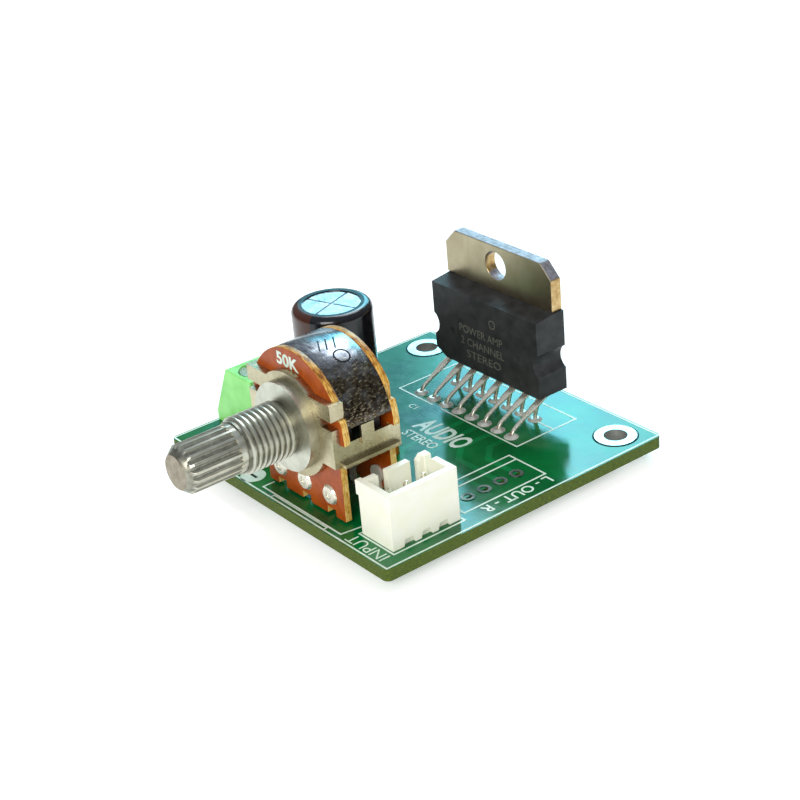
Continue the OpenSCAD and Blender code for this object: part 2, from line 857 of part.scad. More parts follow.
header_floor = 1.8;
key_slots = [[2.4, 1.3], [7, 1.2]];
key_low = 2.4;
key_chamfer = 0.6;
key_lip_t = 0.4;
key_lip_l = 0.8;
key_lip_h = 1.9;
side_slot_w = 0.45;
side_slot_x = 1.1;
vent_foot_w = 1.6;
vent_top_w = 1.1;
vent_h = 0.85;
header_pin_top = 1;

// Keying slots in the shell's back wall and end wall, with lead-in slopes at the last ones
module header_slots() {
    last_slot = key_slots[1];
    end_y = header_l - header_wall - e;
    lead_in = header_h - key_chamfer;
    for (k = key_slots)
        translate([-1, k[0], key_low]) cube([1 + header_wall + e, k[1], header_h]);
    translate([-1, last_slot[0] + last_slot[1], lead_in]) rotate([45, 0, 0])
        cube([1 + header_wall, header_wall, header_wall]);
    translate([side_slot_x, end_y, key_low]) cube([side_slot_w, header_wall + 1, header_h]);
    translate([side_slot_x + side_slot_w, end_y, lead_in]) rotate([0, -45, 0])
        cube([header_wall, header_wall + 1, header_wall]);
}

// Open header shell with keying slots, a lip at the back wall's front end and vents at the foot
module header_shell() {
    color("#f1efe3") translate([header_x, header_y, board_t]) difference() {
        union() {
            cube([header_w, header_l, header_h]);
            translate([-key_lip_t, 0, header_h - key_lip_h]) cube([key_lip_t + e, key_lip_l, key_lip_h]);
        }
        translate([header_wall, header_wall, header_floor])
            cube([header_w - 2 * header_wall, header_l - 2 * header_wall, header_h]);
        header_slots();
        for (p = header_places)
            translate([header_w - header_wall / 2, p[1] - header_y, 0]) rotate([90, 0, 90])
                linear_extrude(header_wall)
                    polygon([[-vent_foot_w / 2, -1], [vent_foot_w / 2, -1], [vent_foot_w / 2, 0],
                        [vent_top_w / 2, vent_h], [-vent_top_w / 2, vent_h], [-vent_foot_w / 2, 0]]);
        for (p = header_places)
            translate([p[0] - header_x - pin_w / 2, p[1] - header_y - pin_w / 2, -1])
                cube([pin_w, pin_w, header_floor + 2]);
    }
}

// Square header pins with pointed ends
module header_pins() {
    point = 0.4;
    top = board_t + header_h - header_pin_top;
    color("#d8d3bd") for (p = header_places)
        translate([p[0], p[1], -lead_below]) {
            translate([-pin_w / 2, -pin_w / 2, 0]) cube([pin_w, pin_w, top - point + lead_below]);
            translate([0, 0, top - point + lead_below]) rotate(45)
                cylinder(d1 = pin_w * sqrt(2), d2 = pin_w * 0.7, h = point, $fn = 4);
        }
}

rim_w = 1.4;
can_edge_r = 0.8;
score_w = 0.3;
score_depth = 0.12;
groove_z = 2.2;
groove_depth = 0.35;
bung_h = 0.4;

// Turned outline of an electrolytic can, from its seat to its domed edge
module can_profile(r, h, edge, groove) {
    intersection() {
        square([r, h]);
        difference() {
            union() {
                square([r, h - edge]);
                square([r - edge, h]);
                translate([r - edge, h - edge]) circle(edge);
            }
            translate([r + groove, groove_z]) circle(2 * groove);
        }
    }
}

// Aluminium can, scored across its top as a vent
module capacitor_can() {
    z = board_t + seat_gap + bung_h;
    h = board_t + can_top - z;
    color("#c5cbd2") translate([can_x, can_y, z]) difference() {
        rotate_extrude() can_profile(can_d / 2 - sleeve_t, h, can_edge_r, groove_depth);
        for (a = [20, 110])
            rotate(a) translate([-can_d, -score_w / 2, h - score_depth])
                cube([2 * can_d, score_w, 1]);
    }
}

// Shrunk sleeve round the can, folded over its top edge
module capacitor_sleeve() {
    z = board_t + seat_gap + bung_h;
    h = board_t + can_top - z;
    r = can_d / 2;
    color("#17171b") translate([can_x, can_y, z]) rotate_extrude() difference() {
        can_profile(r, h + sleeve_t, can_edge_r + sleeve_t, groove_depth);
        can_profile(r - sleeve_t, h, can_edge_r, groove_depth);
        translate([0, -1]) square([r - rim_w, h + 2]);
    }
}

// Rubber bung that closes the can and seats on the board
module capacitor_bung() {
    color("#2a2a2a") translate([can_x, can_y, board_t]) difference() {
        cylinder(d = can_d - 2 * sleeve_t - 0.4, h = seat_gap + bung_h);
        for (p = can_places)
            translate([p[0] - can_x, p[1] - can_y, -1]) cylinder(d = wire_d, h = bung_h + 2);
    }
}

// Round wires of a part that stands on the board, up to a height
module wires(places, h) {
    color("#c4c6c4") for (p = places)
        translate([p[0], p[1], -lead_below]) cylinder(d = wire_d, h = lead_below + board_t + h);
}

module capacitor_leads() {
    wires(can_places, seat_gap + bung_h);
}

small_edge_r = 0.5;
small_bung_h = 0.5;
small_sleeve_t = 0.1;
small_rim_w = 0.7;

module small_cans() {
    h = small_h - small_bung_h;
    color("#c5cbd2") for (p = small_places)
        translate([p[0], p[1], board_t + small_bung_h]) rotate_extrude()
            can_profile(small_d / 2 - small_sleeve_t, h, small_edge_r, groove_depth / 2);
}

module small_sleeves() {
    h = small_h - small_bung_h;
    r = small_d / 2;
    color("#1f2f4a") for (p = small_places)
        translate([p[0], p[1], board_t + small_bung_h]) rotate_extrude() difference() {
            can_profile(r, h + small_sleeve_t, small_edge_r + small_sleeve_t, groove_depth / 2);
            can_profile(r - small_sleeve_t, h, small_edge_r, groove_depth / 2);
            translate([0, -1]) square([r - small_rim_w, h + 2]);
        }
}

module small_bungs() {
    color("#2a2a2a") for (p = small_places)
        translate([p[0], p[1], board_t]) difference() {
            cylinder(d = small_d - 4 * small_sleeve_t, h = small_bung_h);
            for (s = [-1, 1])
                translate([s * small_pitch / 2, 0, -1]) cylinder(d = wire_d, h = small_bung_h + 2);
        }
}

module small_can_leads() {
    wires(small_lead_places, small_bung_h);
}

film_foot = 0.5;
film_round = 0.6;

// Dipped film capacitors with soft edges, on two small feet
module film_capacitors() {
    color("#c8781e") for (p = film_places)
        translate([p[0], p[1], board_t]) difference() {
            rounded_plate(film_w, film_t, film_h, film_round);
            translate([-film_pitch / 2 + wire_d, -film_t, -1])
                cube([film_pitch - 2 * wire_d, 2 * film_t, 1 + film_foot]);
            for (s = [-1, 1])
                translate([s * film_pitch / 2, 0, -1]) cylinder(d = wire_d, h = 1 + film_foot);
        }
}

module film_leads() {
    wires(film_lead_places, film_foot);
}

cap_bulge = 0.35;
cap_l = 1.1;

// Axial resistor body with its two swollen ends
module resistor_body() {
    color("#d9b98a") translate([resistor_x, resistor_y, board_t + resistor_d / 2]) rotate([-90, 0, 0])
        difference() {
            translate([0, 0, -resistor_l / 2]) union() {
                cylinder(d = resistor_d - cap_bulge, h = resistor_l);
                for (z = [0, resistor_l - cap_l])
                    translate([0, 0, z]) cylinder(d = resistor_d, h = cap_l);
            }
            translate([0, 0, -resistor_l]) cylinder(d = wire_d, h = 2 * resistor_l);
        }
}

// One wire through the resistor, turned down into the board at both ends
module resistor_lead() {
    bend = wire_d;
    z = board_t + resistor_d / 2;
    half = resistor_pitch / 2;
    color("#c4c6c4") translate([resistor_x, resistor_y, 0]) {
        translate([0, -half + bend, z]) rotate([-90, 0, 0])
            cylinder(d = wire_d, h = resistor_pitch - 2 * bend);
        for (s = [0, 1])
            mirror([0, s, 0]) {
                translate([0, half - bend, z - bend]) rotate([90, 0, 90])
                    rotate_extrude(angle = 90) translate([bend, 0]) circle(d = wire_d);
                translate([0, half, -lead_below]) cylinder(d = wire_d, h = z - bend + lead_below);
            }
    }
}

circuit_board();
mounting_rings();
output_pads();
amplifier_body();
amplifier_tab();
amplifier_front_leads();
amplifier_rear_leads();
amplifier_collars();
amplifier_solder();
pot_bush();
pot_frame();
front_wafer();
rear_wafer();
pot_cover();
front_terminals();
rear_terminals();
front_track();
rear_track();
volume_shaft();
volume_rotor();
front_wiper();
rear_wiper();
pot_solder();
terminal_housing();
terminal_contacts();
front_clamp();
rear_clamp();
front_screw();
rear_screw();
header_shell();
header_pins();
connector_solder();
capacitor_can();
capacitor_sleeve();
capacitor_bung();
capacitor_leads();
small_cans();
small_sleeves();
small_bungs();
small_can_leads();
film_capacitors();
film_leads();
resistor_body();
resistor_lead();
passive_solder();
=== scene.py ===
"""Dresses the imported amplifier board: finishes, printed lines, copper and small details."""
import json
import math

import bmesh
import bpy
from mathutils import Matrix, Vector


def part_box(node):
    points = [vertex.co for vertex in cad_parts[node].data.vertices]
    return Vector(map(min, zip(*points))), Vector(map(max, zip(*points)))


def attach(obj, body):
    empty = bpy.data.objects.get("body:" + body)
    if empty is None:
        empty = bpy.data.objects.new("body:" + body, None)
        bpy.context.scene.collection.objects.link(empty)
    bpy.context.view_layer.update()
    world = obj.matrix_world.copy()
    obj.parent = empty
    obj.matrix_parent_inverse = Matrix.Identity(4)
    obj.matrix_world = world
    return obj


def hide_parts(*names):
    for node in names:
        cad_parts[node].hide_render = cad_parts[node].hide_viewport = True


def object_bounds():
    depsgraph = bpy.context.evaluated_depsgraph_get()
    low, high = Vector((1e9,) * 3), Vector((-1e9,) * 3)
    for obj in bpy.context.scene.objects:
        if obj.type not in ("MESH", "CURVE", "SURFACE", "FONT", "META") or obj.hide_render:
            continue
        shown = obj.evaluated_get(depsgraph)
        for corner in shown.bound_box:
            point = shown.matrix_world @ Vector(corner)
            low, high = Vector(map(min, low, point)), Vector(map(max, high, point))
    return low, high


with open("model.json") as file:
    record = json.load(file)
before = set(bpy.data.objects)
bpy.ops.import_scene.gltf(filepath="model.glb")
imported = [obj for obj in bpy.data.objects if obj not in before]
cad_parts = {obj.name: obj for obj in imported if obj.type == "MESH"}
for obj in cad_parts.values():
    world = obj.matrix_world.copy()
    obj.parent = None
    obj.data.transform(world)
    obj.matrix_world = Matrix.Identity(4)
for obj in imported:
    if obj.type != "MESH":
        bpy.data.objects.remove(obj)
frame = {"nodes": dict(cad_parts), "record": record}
cad_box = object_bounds()
nodes = frame["nodes"]

MM = 0.001
UP = Vector((0, 0, 1))

# The camera stands where the photograph was taken from
AZIMUTH = math.radians(54.094)
ELEVATION = math.radians(27.028)
ROLL = math.radians(-5.244)
DISTANCE = 228.464 * MM
TARGET = Vector((-0.939, -18.039, 6.6)) * MM
LENS = 82.70
SENSOR = 36.0
CLIP_START = 5 * MM


def span(node):
    """The lowest and highest corner of a node, in millimetres."""
    low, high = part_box(node)
    return low / MM, high / MM


board_low, board_high = span("circuit_board")
shaft_low, shaft_high = span("volume_shaft")
wafer_low, wafer_high = span("front_wafer")
header_low, header_high = span("header_shell")
can_low, can_high = span("capacitor_sleeve")
resistor_low, resistor_high = span("resistor_body")
ring_high = span("mounting_rings")[1]
COVER_TOP = span("pot_cover")[1].z
CHIP_FRONT = span("amplifier_body")[0].y
BOARD_TOP = board_high.z
AXIS_X = (shaft_low.x + shaft_high.x) / 2
AXIS_Z = (shaft_low.z + shaft_high.z) / 2
SHAFT_R = (shaft_high.x - shaft_low.x) / 2
HOLE_X = ring_high.x - ring_high.y

# Sizes in millimetres that the nodes' boxes don't give
PLATED_R = 1.6
THREAD_R = 3.5
THREAD_DEPTH = 0.3
TOOTH_DEPTH = 0.4
LATHE_PITCH = 0.25


# Colours and materials

GAMMA = 2.2
FACING_LIMIT = 0.6
WAVE_SCALE = math.pi / 10

# Sockets of a colour mix node
MIX_A = 6
MIX_B = 7
MIX_RESULT = 2


def srgb(red, green, blue):
    """A linear colour from 8-bit screen values."""
    return tuple((value / 255) ** GAMMA for value in (red, green, blue)) + (1.0,)


class Finish:
    """A Principled material, with short calls that add texture nodes measured in millimetres."""

    def __init__(self, name, rough=0.4, metal=0.0, **sockets):
        self.material = bpy.data.materials.new(name)
        self.material.use_nodes = True
        self.tree = self.material.node_tree
        self.shader = self.tree.nodes["Principled BSDF"]
        self.put("Roughness", rough)
        self.put("Metallic", metal)
        for socket, value in sockets.items():
            self.put(socket.replace("_", " "), value)
        coordinates = self.add("ShaderNodeTexCoord")
        self.normal = coordinates.outputs["Normal"]
        self.place = self.vector("MULTIPLY", coordinates.outputs["Object"], (1 / MM,) * 3)

    def fill(self, socket, value):
        """Links a socket to another node's output, or sets it to a constant."""
        if isinstance(value, bpy.types.NodeSocket):
            self.tree.links.new(value, socket)
        else:
            socket.default_value = value

    def put(self, name, value):
        """Fills one of the shader's own sockets."""
        self.fill(self.shader.inputs[name], value)

    def add(self, kind, settings=(), **inputs):
        """A new node with its settings and inputs filled in."""
        node = self.tree.nodes.new(kind)
        for key, value in dict(settings).items():
            setattr(node, key, value)
        for key, value in inputs.items():
            self.fill(node.inputs[key], value)
        return node

    def vector(self, operation, a, b):
        """Vector maths on two inputs."""
        node = self.add("ShaderNodeVectorMath", {"operation": operation})
        self.fill(node.inputs[0], a)
        self.fill(node.inputs[1], b)
        return node.outputs[0]

    def measure(self, operation, a, b):
        """A number worked out from two vectors: DISTANCE or DOT_PRODUCT."""
        return self.vector(operation, a, b).node.outputs["Value"]

    def maths(self, operation, a, b=0.0):
        """Plain maths on two inputs."""
        node = self.add("ShaderNodeMath", {"operation": operation})
        self.fill(node.inputs[0], a)
        self.fill(node.inputs[1], b)
        return node.outputs[0]

    def part(self, vector, axis):
        """One component of a vector, by its letter."""
        return self.add("ShaderNodeSeparateXYZ", Vector=vector).outputs[axis]

    def noise(self, size, detail=3.0, stretch=(1, 1, 1)):
        """Soft noise whose patches are about size millimetres across, longer where stretch is small."""
        place = self.vector("MULTIPLY", self.place, stretch)
        return self.add("ShaderNodeTexNoise", Vector=place, Scale=1 / size, Detail=detail).outputs["Fac"]

    def waves(self, axis, size, distortion=0.4):
        """Even lines across one axis, size millimetres apart."""
        node = self.add("ShaderNodeTexWave", {"bands_direction": axis}, Vector=self.place,
                        Scale=WAVE_SCALE / size, Distortion=distortion)
        return node.outputs["Fac"]

    def facing(self, axis):
        """1 on faces that look along an axis, either way, and 0 on the others."""
        along = self.maths("ABSOLUTE", self.part(self.normal, axis))
        return self.maths("GREATER_THAN", along, FACING_LIMIT)

    def spread(self, value, low, high, start=0.3, end=0.7):
        """Stretches a noise from its usual range to run from low to high."""
        node = self.add("ShaderNodeMapRange", Value=value)
        for key, number in (("From Min", start), ("From Max", end), ("To Min", low), ("To Max", high)):
            node.inputs[key].default_value = number
        return node.outputs["Result"]

    def ramp(self, value, *stops, steps=False):
        """A colour chosen by value from stops, blended or in steps."""
        node = self.add("ShaderNodeValToRGB", Fac=value)
        points = node.color_ramp.elements
        node.color_ramp.interpolation = "CONSTANT" if steps else "LINEAR"
        while len(points) < len(stops):
            points.new(1.0)
        for point, (position, colour) in zip(points, stops):
            point.position = position
            point.color = colour
        return node.outputs["Color"]

    def mix(self, share, a, b):
        """Colour a where share is 0 and colour b where it is 1."""
        node = self.add("ShaderNodeMix", {"data_type": "RGBA"})
        self.fill(node.inputs[0], share)
        self.fill(node.inputs[MIX_A], a)
        self.fill(node.inputs[MIX_B], b)
        return node.outputs[MIX_RESULT]

    def shade(self, dark, light, size, detail=4.0, stretch=(1, 1, 1)):
        """A colour that wanders between two tones."""
        return self.ramp(self.noise(size, detail, stretch), (0.34, dark), (0.66, light))

    def bump(self, height, depth, strength=1.0):
        """Raises the surface by depth millimetres where height is 1."""
        node = self.add("ShaderNodeBump", Height=height, Strength=strength, Distance=depth * MM)
        self.put("Normal", node.outputs["Normal"])

    def use(self, *names):
        """Gives the finish to nodes."""
        for name in names:
            nodes[name].data.materials.clear()
            nodes[name].data.materials.append(self.material)


def metal(name, dark, light, rough, grain, depth=0.01, bare=1.0):
    """A bare or plated metal with cloudy tone, fine marks and uneven gloss. Dull skins are less bare."""
    finish = Finish(name, metal=bare)
    finish.put("Base Color", finish.shade(dark, light, grain * 6))
    marks = finish.noise(grain, 2.0)
    finish.put("Roughness", finish.spread(marks, rough - 0.08, rough + 0.1))
    finish.bump(marks, depth)
    return finish


def plastic(name, dark, light, rough, grain=0.25, depth=0.006, **sockets):
    """A moulded plastic or resin with a fine grain and slight clouding."""
    finish = Finish(name, **sockets)
    finish.put("Base Color", finish.shade(dark, light, grain * 12))
    marks = finish.noise(grain, 4.0)
    finish.put("Roughness", finish.spread(marks, rough - 0.05, rough + 0.08))
    finish.bump(marks, depth)
    return finish


def board_finish(name, dark, light):
    """Glossy green mask on the faces, bare glass fibre on the cut edges, plated mounting holes."""
    finish = Finish(name, IOR=1.5)
    weave = finish.maths("ADD", finish.waves("X", 0.5), finish.waves("Y", 0.5))
    cloud = finish.maths("ADD", finish.maths("MULTIPLY", weave, 0.05), finish.noise(6.0, 4.0))
    mask = finish.ramp(cloud, (0.35, dark), (0.75, light))
    fibre = finish.noise(0.5, 5.0, (1, 1, 9))
    edge = finish.ramp(fibre, (0.32, srgb(46, 62, 6)), (0.68, srgb(94, 114, 20)))
    flat = finish.facing("Z")
    cut = finish.maths("SUBTRACT", 1.0, flat)
    folded = finish.vector("MULTIPLY", finish.vector("ABSOLUTE", finish.place, (0, 0, 0)), (1, 1, 0))
    near_hole = finish.maths("LESS_THAN", finish.measure("DISTANCE", folded, (HOLE_X, 0, 0)), PLATED_R)
    plated = finish.maths("MULTIPLY", near_hole, cut)
    colour = finish.mix(flat, edge, mask)
    finish.put("Base Color", finish.mix(plated, colour, srgb(158, 158, 152)))
    finish.put("Metallic", plated)
    gloss = finish.spread(finish.noise(1.4, 3.0), 0.12, 0.2)
    finish.put("Roughness", finish.maths("ADD", gloss, finish.maths("MULTIPLY", cut, 0.55)))
    ripple = finish.maths("ADD", finish.noise(1.8, 2.0), finish.maths("MULTIPLY", weave, 0.12))
    finish.bump(ripple, 0.012, 0.5)
    return finish


def phenolic_finish():
    """Pressed board: orange-brown faces, layered cut edges from dark brown to pale gold, worn in patches
    and darker toward the top.
    """
    finish = Finish("phenolic", Specular_IOR_Level=0.3)
    face = finish.shade(srgb(150, 65, 14), srgb(170, 80, 20), 1.6)
    layers = finish.noise(0.5, 4.0, (0.7, 5, 0.7))
    # The edges run darker toward the top of the wafer.
    height = finish.spread(finish.part(finish.place, "Z"), 0.16, -0.03, AXIS_Z, wafer_high.z)
    patches = finish.spread(finish.noise(1.1, 3.0), -0.12, 0.12)
    edge_tone = finish.maths("ADD", finish.maths("ADD", layers, height), patches)
    edge = finish.ramp(edge_tone, (0.3, srgb(104, 60, 24)), (0.48, srgb(182, 126, 52)),
                       (0.62, srgb(216, 172, 82)), (0.8, srgb(240, 210, 136)))
    finish.put("Base Color", finish.mix(finish.facing("Y"), edge, face))
    grain = finish.noise(0.2, 4.0)
    finish.put("Roughness", finish.spread(grain, 0.24, 0.44))
    finish.bump(grain, 0.012)
    return finish


def turned_finish(name, crest, groove):
    """Turned metal with tool rings round the shaft's axis, with painted shade in its grooves, and browner
    on its sawn end.
    """
    finish = Finish(name, metal=1.0)
    skin = finish.shade(srgb(181, 180, 165), srgb(200, 199, 184), 1.4)
    # Painted shade: a darker tone laid into the grooves of the teeth and thread, toward their roots.
    groove_shade = finish.shade(srgb(120, 118, 106), srgb(158, 156, 142), 0.7)
    sawn = finish.shade(srgb(131, 118, 100), srgb(158, 146, 128), 0.9)
    across = finish.vector("MULTIPLY", finish.place, (1, 0, 1))
    radius = finish.measure("DISTANCE", across, (AXIS_X, 0, AXIS_Z))
    in_groove = finish.spread(radius, 1.0, 0.0, crest - groove, crest - groove / 2)
    at_end = finish.maths("LESS_THAN", finish.part(finish.place, "Y"), shaft_low.y + 0.05)
    finish.put("Base Color", finish.mix(at_end, finish.mix(in_groove, skin, groove_shade), sawn))
    along = finish.maths("MULTIPLY", finish.waves("Y", 0.09, 1.2), 0.3)
    lathe = finish.maths("SINE", finish.maths("MULTIPLY", radius, 2 * math.pi / LATHE_PITCH))
    around = finish.maths("MULTIPLY", lathe, 0.15)
    marks = finish.maths("ADD", finish.maths("ADD", along, around), finish.noise(0.3, 3.0))
    finish.put("Roughness", finish.spread(marks, 0.28, 0.44, 0.3, 1.0))
    finish.bump(marks, 0.006)
    return finish


def cover_finish():
    """Dark drawn steel: cloudy tone, with painted shade in dark brown toward the right side, where worn
    specks show too.
    """
    finish = Finish("dark_steel", metal=1.0)
    tone = finish.shade(srgb(112, 116, 124), srgb(168, 172, 179), 1.4)
    # Painted shade: the tone darkens to brown toward the right side of the arch; the same mask places the
    # worn specks.
    side = finish.spread(finish.part(finish.place, "X"), 0.0, 1.0, AXIS_X + 2.5, AXIS_X + 6.5)
    patch = finish.spread(finish.noise(1.3, 4.0), -0.35, 0.35)
    shade_and_wear = finish.add("ShaderNodeClamp", Value=finish.maths("ADD", side, patch)).outputs["Result"]
    tone = finish.mix(shade_and_wear, tone, finish.shade(srgb(46, 40, 33), srgb(92, 80, 64), 0.5))
    flakes = finish.spread(finish.noise(0.2, 4.0, (1, 0.4, 1)), 0.0, 0.8, 0.54, 0.7)
    specks = finish.maths("MULTIPLY", flakes, shade_and_wear)
    finish.put("Base Color", finish.mix(specks, tone, srgb(196, 184, 152)))
    scuffs = finish.noise(0.5, 6.0, (0.4, 2.0, 0.4))
    finish.put("Roughness", finish.spread(scuffs, 0.14, 0.34))
    dents = finish.maths("ADD", finish.noise(0.8, 4.0), finish.maths("MULTIPLY", scuffs, 0.4))
    finish.bump(finish.maths("ADD", dents, specks), 0.014)
    return finish


def tab_finish():
    """Nickel-plated copper: warm faces with drawn lines, a sheared top tinted grey-lavender as a painted
    reflection of the sky, and coppery sides.
    """
    finish = Finish("tab_metal", metal=1.0)
    face = finish.shade(srgb(161, 148, 121), srgb(176, 163, 136), 2.5, 3.0, (1, 1, 0.6))
    side = finish.shade(srgb(166, 132, 84), srgb(206, 178, 130), 0.7)
    # Painted reflection: the upward faces get a grey-lavender tint for the sky they mirror.
    top = finish.shade(srgb(138, 134, 138), srgb(178, 174, 180), 0.6)
    edge = finish.mix(finish.facing("Z"), side, top)
    finish.put("Base Color", finish.mix(finish.facing("Y"), edge, face))
    lines = finish.noise(0.3, 3.0, (2, 1, 0.4))
    sheared = finish.maths("MULTIPLY", finish.facing("Z"), 0.3)
    finish.put("Roughness", finish.maths("ADD", finish.spread(lines, 0.28, 0.42), sheared))
    finish.bump(lines, 0.004)
    return finish


def sleeve_finish(name, centre, dark, light, stripe, angle, width):
    """Glossy shrunk sleeve with one plain stripe down its side."""
    finish = Finish(name, IOR=1.5)
    offset = finish.vector("SUBTRACT", finish.place, (centre[0], centre[1], 0))
    outward = finish.vector("NORMALIZE", finish.vector("MULTIPLY", offset, (1, 1, 0)), (0, 0, 0))
    toward = finish.measure("DOT_PRODUCT", outward, (math.cos(angle), math.sin(angle), 0))
    near = finish.maths("GREATER_THAN", toward, math.cos(width / 2))
    tone = finish.shade(dark, light, 1.5)
    finish.put("Base Color", finish.mix(near, tone, stripe))
    wrinkle = finish.noise(1.2, 3.0, (1, 1, 0.25))
    finish.put("Roughness", finish.spread(wrinkle, 0.12, 0.24))
    finish.bump(wrinkle, 0.03, 0.6)
    return finish


def can_finish():
    """Drawn aluminium with a fine brushed top."""
    finish = Finish("can_metal", metal=1.0)
    finish.put("Base Color", finish.shade(srgb(176, 184, 192), srgb(212, 218, 222), 1.4))
    brush = finish.noise(0.25, 5.0, (0.3, 3, 1))
    finish.put("Roughness", finish.spread(brush, 0.22, 0.42))
    finish.bump(brush, 0.006)
    return finish


def resistor_finish():
    """Lacquered coat with plain colour rings along the body."""
    finish = Finish("resistor_coat", IOR=1.5)
    along = finish.spread(finish.part(finish.place, "Y"), 0.0, 1.0, resistor_low.y, resistor_high.y)
    coat = srgb(206, 176, 124)
    rings = ((0.0, coat), (0.1, srgb(96, 52, 22)), (0.2, coat), (0.34, srgb(24, 22, 22)), (0.43, coat),
             (0.54, srgb(178, 32, 26)), (0.63, coat), (0.8, srgb(190, 150, 60)), (0.9, coat))
    finish.put("Base Color", finish.ramp(along, *rings, steps=True))
    grain = finish.noise(0.3, 3.0)
    finish.put("Roughness", finish.spread(grain, 0.22, 0.36))
    finish.bump(grain, 0.01)
    return finish


def solder_finish():
    """Frozen solder: bright, with soft ripples and a duller skin in patches."""
    finish = Finish("solder", metal=0.6)
    finish.put("Base Color", finish.shade(srgb(196, 194, 184), srgb(238, 236, 226), 0.8))
    ripple = finish.noise(0.45, 3.0)
    finish.put("Roughness", finish.spread(ripple, 0.26, 0.5))
    finish.bump(ripple, 0.05)
    return finish


TIN = (srgb(222, 217, 200), srgb(240, 236, 222))
big_centre = ((can_low.x + can_high.x) / 2, (can_low.y + can_high.y) / 2)
finishes = {
    "board": board_finish("board", srgb(0, 78, 40), srgb(10, 116, 58)),
    "tinned_metal": metal("tinned_metal", *TIN, 0.24, 0.4, depth=0.002, bare=0.72),
    "solder": solder_finish(),
    "package": plastic("package", srgb(40, 41, 42), srgb(56, 57, 58), 0.52, 0.12, 0.008,
                       Specular_IOR_Level=0.3),
    "tab_metal": tab_finish(),
    "plated_steel": metal("plated_steel", srgb(162, 151, 121), srgb(192, 182, 153), 0.3, 0.6,
                          depth=0.0015),
    "turned_metal": turned_finish("turned_metal", THREAD_R, THREAD_DEPTH),
    "phenolic": phenolic_finish(),
    "dark_steel": cover_finish(),
    "carbon_film": plastic("carbon_film", srgb(16, 16, 17), srgb(34, 33, 33), 0.5, 0.1),
    "rotor_plastic": plastic("rotor_plastic", srgb(44, 43, 41), srgb(66, 64, 61), 0.42, 0.2),
    "spring_brass": metal("spring_brass", srgb(178, 136, 60), srgb(222, 184, 100), 0.3, 0.3),
    "green_plastic": plastic("green_plastic", srgb(130, 220, 110), srgb(152, 234, 132), 0.36, 0.2),
    "ivory_plastic": plastic("ivory_plastic", srgb(250, 249, 228), srgb(254, 253, 240), 0.34, 0.2, 0.005),
    "can_metal": can_finish(),
    "black_sleeve": sleeve_finish("black_sleeve", big_centre, srgb(10, 10, 14), srgb(26, 26, 33),
                                  srgb(66, 33, 18), math.radians(-102), math.radians(66)),
    "rubber": plastic("rubber", srgb(28, 27, 27), srgb(46, 45, 44), 0.7, 0.15, 0.015),
    "film_resin": plastic("film_resin", srgb(176, 92, 18), srgb(214, 128, 40), 0.2, 0.6, 0.03, IOR=1.5),
    "resistor_coat": resistor_finish(),
}
for subpart in frame["record"]["subparts"]:
    finishes[subpart["material_slot"]].use(subpart["node"])
turned_finish("shaft_metal", SHAFT_R, TOOTH_DEPTH).use("volume_shaft")
metal("dull_tin", *TIN, 0.4, 0.4, depth=0.002, bare=0.3).use("rear_terminals")
metal("ring_metal", srgb(168, 178, 178), srgb(204, 211, 210), 0.34, 0.3).use("mounting_rings")
metal("pad_metal", srgb(70, 82, 75), srgb(112, 122, 114), 0.4, 0.2).use("output_pads")

ink = plastic("white_ink", srgb(200, 226, 208), srgb(228, 242, 232), 0.42, 0.15, 0.006)
grey_ink = plastic("grey_ink", srgb(90, 89, 83), srgb(112, 110, 103), 0.5, 0.12, 0.006)
trace_mask = board_finish("trace_mask", srgb(4, 92, 50), srgb(22, 138, 76))
dark_mask = plastic("dark_mask", srgb(8, 30, 26), srgb(14, 44, 38), 0.6, 0.2, 0.004,
                    Specular_IOR_Level=0.1)
# Dark metal: painted shade in the cover's stamped marks, and plain dark print for the minus dash.
stamp = metal("stamp_shade_and_dash_ink", srgb(24, 24, 26), srgb(44, 44, 48), 0.4, 0.2)


# Softened edges of moulded, stamped and cut pieces

WELD_GAP = 1e-6
SHARP_EDGE = math.radians(40)


def soften(width, *names):
    """Rounds the sharp edges of nodes by a width in millimetres."""
    for name in names:
        weld = nodes[name].modifiers.new("weld", "WELD")
        weld.merge_threshold = WELD_GAP
        bevel = nodes[name].modifiers.new("round", "BEVEL")
        bevel.width = width * MM
        bevel.segments = 2
        bevel.limit_method = "ANGLE"
        bevel.angle_limit = SHARP_EDGE
        bevel.harden_normals = True


soften(0.16, "amplifier_body", "terminal_housing", "film_capacitors")
soften(0.25, "pot_frame")
soften(0.12, "amplifier_tab")
soften(0.06, "header_shell", "front_wafer", "rear_wafer", "pot_cover", "header_pins", "front_screw",
       "rear_screw", "front_terminals", "rear_terminals", "volume_shaft", "circuit_board")


# Meshes for print, copper and stamped marks

MITRE_LIMIT = 0.4
JOIN_GAP = 1e-7
SLIVER = 1e-6


def piece(name, mesh, finish, body):
    """Puts a finished mesh into the scene as a piece that rides on a body."""
    mesh.name = name
    mesh.materials.clear()
    mesh.materials.append(finish.material)
    obj = bpy.data.objects.new(name, mesh)
    bpy.context.scene.collection.objects.link(obj)
    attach(obj, body)
    return obj


def circle(centre, radius, steps):
    """Points round a circle, from its right side."""
    turns = [2 * math.pi * i / steps for i in range(steps)]
    return [(centre[0] + radius * math.cos(a), centre[1] + radius * math.sin(a)) for a in turns]


